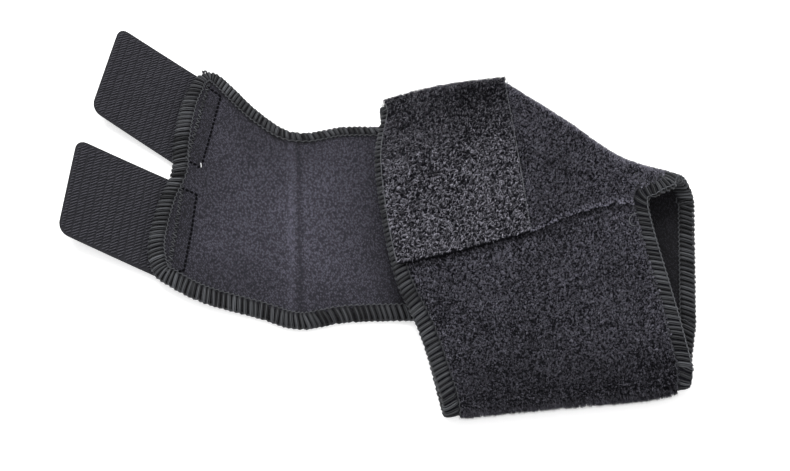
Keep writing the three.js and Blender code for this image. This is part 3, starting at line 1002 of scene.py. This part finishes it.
RUN = np.linspace(0, 1, 1500)
left_edge = Edge(
    edge_run(ON_STRAP, RUN * STRAP_LAST, 0),
    edge_run(ON_STRAP, STRAP_LAST, RUN),
    edge_run(ON_STRAP, (1 - RUN) * STRAP_LAST, 1),
    edge_run(ON_SLEEVE, 0, BACK + RUN * (CLOSE - BACK)),
    edge_run(ON_SLEEVE, 0, RUN * FAR_BASE),
)
right_edge = Edge(edge_run(ON_SLEEVE, LAST_STATION, RUN * CLOSE))

PITCH = 2.35
THREAD_RADIUS = 0.31
THREADS_IN_STITCH = 3
STITCH_SLANT = 0.3
BAND_END = 6.9
BUNDLE_SHARE = 0.5
BUNDLE_CROWN = 0.4
# Painted light and shade round a thread, from its first side on
PAINTED_SIDE_LIGHT = np.array([0.4, 1.1, 0.4, 0.1])
# Path of an overlock thread: distance in from the edge and height out from the middle surface
STITCH_PATH = np.array([
    (BAND_END, 0.7), (6.3, 1.1), (4.8, 1.28), (3.0, 1.36), (1.4, 1.3), (0.6, 1.05), (0.32, 0.3),
    (0.32, -0.7), (0.6, -1.5), (1.4, -1.82), (3.0, -1.92), (4.8, -1.88), (6.3, -1.72), (BAND_END, -1.3),
])


def overlock(name, edge):
    """Bundles of parallel threads that wrap the edge, one bundle to a stitch."""
    count = int(round(edge.length / PITCH))
    pitch = edge.length / count
    stitch = (np.arange(count) + random.normal(0, 0.06, count)) * edge.length / count
    fan = np.linspace(-1, 1, THREADS_IN_STITCH)
    inward, height = STITCH_PATH.T
    draw = 1 - 0.35 * np.clip((inward - 4.5) / 2.4, 0, 1)
    offset = fan[None, :, None] * (pitch * BUNDLE_SHARE / 2) * draw
    lean = STITCH_SLANT * (inward - 3) * np.sign(height)
    lean = lean + random.normal(0, 0.1, (count, 1, 1)) * (inward - 3) / 3
    at = stitch[:, None, None] + offset + lean + random.normal(0, 0.04, (count, THREADS_IN_STITCH, 1))
    crown = BUNDLE_CROWN * (1 - fan ** 2)[None, :, None] * random.uniform(0.6, 1.2, (count, 1, 1))
    on_face = np.clip(inward / 2, 0, 1) * np.clip((BAND_END - inward) / 1.5, 0, 1)
    down = edge.facing_down(stitch)[:, None, None] * (height > 0)
    high = height + np.sign(height) * crown * on_face * (1 - down)
    at_rim = np.clip(1 - inward / 1.2, 0, 1)
    reach = inward + random.normal(0, 0.16, (count, 1, 1)) * (inward > 4) - 1.3 * crown * at_rim
    paths = edge.place(*np.broadcast_arrays(at, reach, high)).reshape(-1, len(inward), 3)
    # A random tone for each bundle, with painted shade on its outer threads
    bundle_tone_and_shade = random.normal(0.52, 0.13, (count, 1, 1)) - 0.3 * (fan ** 2)[None, :, None]
    tone = np.clip(bundle_tone_and_shade + random.normal(0, 0.07, (count, THREADS_IN_STITCH, 1)), 0, 1)
    # Painted shade where the threads go into the cloth
    shade = (tone * np.where(inward > 6.0, 0.35, 1.0)).reshape(-1, len(inward), 1) * PAINTED_SIDE_LIGHT
    up = paths - paths.mean(axis=1, keepdims=True)
    return tubes(name, paths, THREAD_RADIUS, 4, up, thread_fibre, shade)


def chain(name, edge, inward, height, swing, radius, tone):
    """A looped thread that runs along the edge."""
    at = np.linspace(0, edge.length, int(edge.length / PITCH) * 9)
    phase = at / PITCH * 2 * math.pi
    down = edge.facing_down(at) * (height > 0)
    rise = height + np.sign(height) * 0.16 * np.cos(phase) * (1 - down)
    sway = at + 0.32 * PITCH * np.sin(2 * phase) * 0.6
    paths = edge.place(sway, inward + swing * np.sin(phase), rise)[None]
    shade = tone * (0.8 + 0.35 * np.sin(phase))
    up = np.roll(np.gradient(paths, axis=1), 1, axis=2)
    return tubes(name, paths, radius, 4, up, thread_fibre, shade[None, :, None])


sewing = [
    overlock("overlock_left", left_edge),
    overlock("overlock_right", right_edge),
    chain("overlock_chain_left_inside", left_edge, 6.8, -1.85, 0.55, 0.22, 0.62),
    chain("overlock_chain_right_inside", right_edge, 6.8, -1.85, 0.55, 0.22, 0.5),
    chain("overlock_chain_left_outside", left_edge, 6.8, 1.3, 0.45, 0.22, 0.5),
    chain("overlock_chain_right_outside", right_edge, 6.8, 1.3, 0.45, 0.22, 0.5),
    chain("edge_thread_right", right_edge, 0.5, 1.42, 0.12, 0.17, 0.95),
]


# Stitching that holds the tabs to the strap, and loose ends of thread

INNER_FACE = JERSEY_FACE + 0.06
STITCH_LENGTH = 1.1
STITCH_GAP = 1.15
STITCH_RADIUS = 0.6
ZIGZAG_STEP = 0.42
# Plan points in mm of the loose end beside the seam
TAIL = [(111.4, 2.8), (109.4, 2.2), (108.1, 0.4), (108.0, -1.8), (109.1, -3.1), (110.8, -3.0)]
TAIL_LIFT = 1.3
KNOT_WAY = (-0.35, 1.0)
KNOT_OFFSET = (-0.9, -0.5, 1.2)
KNOT_SIZE = 0.9
# Reach and distance across the upper tab in mm of the thread end painted pale as a glint
GLINT_END = [(-15.3, 42.0), (-15.9, 43.0), (-16.1, 44.0)]

# Corners of the stitched lines on each tab: reach and distance across, in mm
STITCHED = [
    [(-7.5, 4.2), (-15.2, 4.6), (-15.8, 24), (-15.9, 43.6), (-8.0, 44.6)],
    [(-7.5, 3.4), (-15.0, 3.3), (-15.3, 22), (-14.8, 41.5), (-7.0, 46.2)],
]
COLUMNS = [[(-8.0, 2.5), (-8.1, 24), (-8.4, 45.5)], [(-8.0, 2.0), (-8.2, 24), (-8.0, 46.5)]]


def on_strap(index, plan, lift):
    """Points over the strap's inner face, from reach and distance across a tab in mm."""
    points = on_flat(tab_point(index, plan[..., 0], plan[..., 1] / TAB_WIDTH))
    points[..., 2] += INNER_FACE + lift
    return points


def spaced(corners, step):
    """Corners of a line made into even points."""
    corners = np.asarray(corners, float)
    at = length_from_start(corners)
    here = np.arange(0, at[-1], step)
    return np.stack([np.interp(here, at, corners[:, k]) for k in range(2)], -1)


def running_stitch(name, index):
    """Short threads in a line that dip into the cloth at both ends."""
    starts = spaced(STITCHED[index], STITCH_LENGTH + STITCH_GAP)
    ahead = unit(np.gradient(starts, axis=0))
    steps = np.linspace(0, 1, 6)
    plan = starts[:, None] + ahead[:, None] * (steps * STITCH_LENGTH)[None, :, None]
    paths = on_strap(index, plan, 0.3 * np.sin(steps * math.pi) - 0.35)
    # Near black, as painted shade in the stitch holes
    shade = np.clip(random.normal(0.0, 0.03, (len(paths), 1, 1)), 0, 1)
    return tubes(name, paths, STITCH_RADIUS, 5, UP, stitch_and_shade_fibre, shade)


def zigzag_column(name, index):
    """Rough loops that run to and fro along a line."""
    line = spaced(COLUMNS[index], ZIGZAG_STEP)
    count = len(line)
    turns = np.arange(count)
    ahead = unit(np.gradient(line, axis=0))
    side = np.stack([-ahead[:, 1], ahead[:, 0]], -1)
    swing = 0.95 * np.sin(turns * 1.15) * random.uniform(0.7, 1.3, count)
    plan = line + side * swing[:, None] + random.normal(0, 0.12, (count, 2))
    paths = on_strap(index, plan, 0.25 + 0.22 * np.cos(turns * 2.3))[None]
    shade = np.clip(random.normal(0.36, 0.16, (count, 1)) * PAINTED_SIDE_LIGHT, 0, 1)
    return tubes(name, paths, 0.3, 4, UP, thread_fibre, shade)


def thread_tail():
    """Loose end of thread that lies on the plush beside the seam."""
    plan = spaced(TAIL, 0.5)
    surface = np.vstack([sole_top.reshape(-1, 3), wrap_top.reshape(-1, 3)])
    upper_side = surface[surface[:, 2] > FABRIC_THICKNESS * 1.5]
    closest = ((plan[:, None] - upper_side[None, :, :2]) ** 2).sum(2).argmin(1)
    paths = np.concatenate([plan, upper_side[closest, 2:] + TAIL_LIFT], 1)[None]
    return tubes("seam_thread_tail", paths, 0.24, 5, UP, thread_fibre, 0.7)


def corner_knot():
    """Small knot of thread at the far corner of the strap."""
    reach = left_edge.points[:, :2] @ np.array(KNOT_WAY)
    corner = np.where(left_edge.surface == ON_STRAP, reach, -np.inf).argmax()
    turn = np.linspace(0, 2 * math.pi, 60)
    loops = np.stack([np.sin(2 * turn), np.cos(3 * turn), np.sin(3 * turn + 0.7)], -1) * KNOT_SIZE
    paths = (left_edge.points[corner] + KNOT_OFFSET + loops)[None]
    return tubes("strap_corner_knot", paths, 0.3, 5, loops[None], thread_fibre, 0.3)


def glint_thread():
    """End of thread beside the stitching of the upper tab, painted pale as a painted highlight where it
    glints.
    """
    path = on_strap(0, spaced(GLINT_END, 0.2), 0.45)
    return tubes("stitch_thread_glint", path[None], 0.28, 5, UP, glint_fibre, 0.8)


sewing += [thread_tail(), corner_knot(), glint_thread()]
for index, (tab_name, *_) in enumerate(TABS):
    sewing.append(running_stitch(f"{tab_name}_running_stitch", index))
    sewing.append(zigzag_column(f"{tab_name}_zigzag", index))


# Floor, light and camera

FLOOR_HALF = 4.0
WORLD_LIGHT = 0.62
LENS = 70
CAMERA_AWAY = (0, -0.334, 0.5785)
# From the surface's own origin to the point that the camera looks at, in mm along X
AIM_SHIFT = 8


def staged(name, data):
    """An object that belongs to the stage and not to the brace."""
    made = bpy.data.objects.new(name, data)
    bpy.context.scene.collection.objects.link(made)
    return made


def turned_to(made, location, target):
    """Puts a light or camera at a location, turned to a target."""
    made.location = location
    made.rotation_mode = "QUATERNION"
    made.rotation_quaternion = (target - made.location).to_track_quat("-Z", "Y")


def area_light(name, location, size, power):
    """Round light turned to the middle of the brace."""
    light = bpy.data.lights.new(name, "AREA")
    light.shape = "DISK"
    light.size = size
    light.energy = power
    turned_to(staged(name, light), location, Vector((0, 0, 0)))


floor = bpy.data.meshes.new("floor")
corners = [(x * FLOOR_HALF, y * FLOOR_HALF, 0) for x, y in ((-1, -1), (1, -1), (1, 1), (-1, 1))]
floor.from_pydata(corners, [], [(0, 1, 2, 3)])
floor.materials.append(floor_paper)
staged("floor", floor)

area_light("key_light", (-0.35, 0.75, 1.1), 1.1, 15)
area_light("fill_light", (0.5, -0.9, 1.1), 1.4, 5)

scene = bpy.context.scene
world = bpy.data.worlds.new("studio")
world.use_nodes = True
scene.world = world
background = world.node_tree.nodes["Background"]
background.inputs["Color"].default_value = (1, 1, 1, 1)
background.inputs["Strength"].default_value = WORLD_LIGHT
scene.view_settings.view_transform = "Standard"
scene.view_settings.look = "None"

camera = bpy.data.cameras.new("camera")
camera.lens = LENS
camera.sensor_width = 36
camera.clip_start = 0.01
camera_object = bpy.data.objects.new("camera", camera)
scene.collection.objects.link(camera_object)
aim = Vector((AIM_SHIFT + ORIGIN[0], ORIGIN[1], 0)) * MM
turned_to(camera_object, aim + Vector(CAMERA_AWAY), aim)
scene.camera = camera_object
